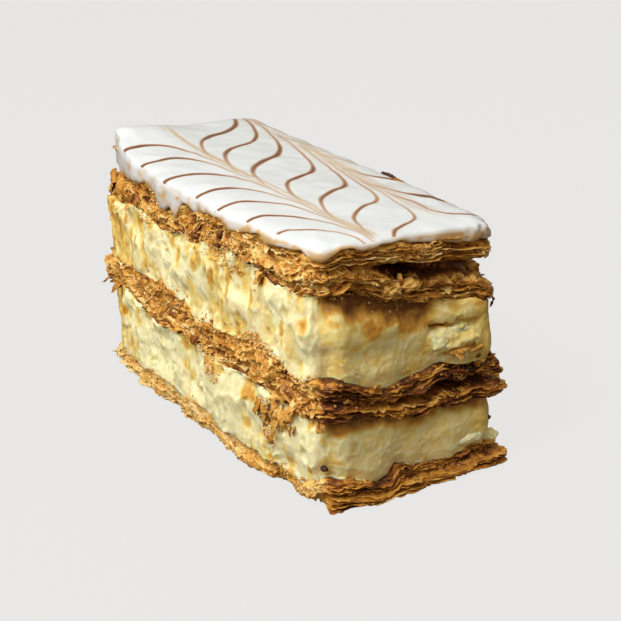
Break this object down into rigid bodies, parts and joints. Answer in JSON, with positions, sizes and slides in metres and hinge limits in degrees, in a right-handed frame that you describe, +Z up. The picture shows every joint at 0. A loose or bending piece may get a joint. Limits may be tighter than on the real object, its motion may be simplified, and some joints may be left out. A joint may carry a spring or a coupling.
{
  "type": "mille feuille slice",
  "caption": "Rectangular slice of layered puff pastry and vanilla cream under a white icing lid with a feathered cocoa pattern.",
  "frame": {"origin": "middle of the slice's box in plan, on the surface that the base slab rests on", "axes": "+X across the slice to the straight cut side, +Y along the slice to its far end, +Z up through the layers"},
  "size_m": [0.048, 0.1037, 0.0568],
  "materials": {
    "golden_pastry": "dry, flaky, golden",
    "browned_pastry": "dry, flaky, browned",
    "vanilla_cream": "soft, moist, pale yellow",
    "white_icing": "smooth set fondant with thin cocoa lines"
  },
  "bodies": {
    "root": {"pastry_bottom": "golden_pastry", "cream_lower": "vanilla_cream", "pastry_middle": "browned_pastry", "cream_upper": "vanilla_cream", "pastry_top": "browned_pastry", "icing": "white_icing"}
  },
  "joints": []
}
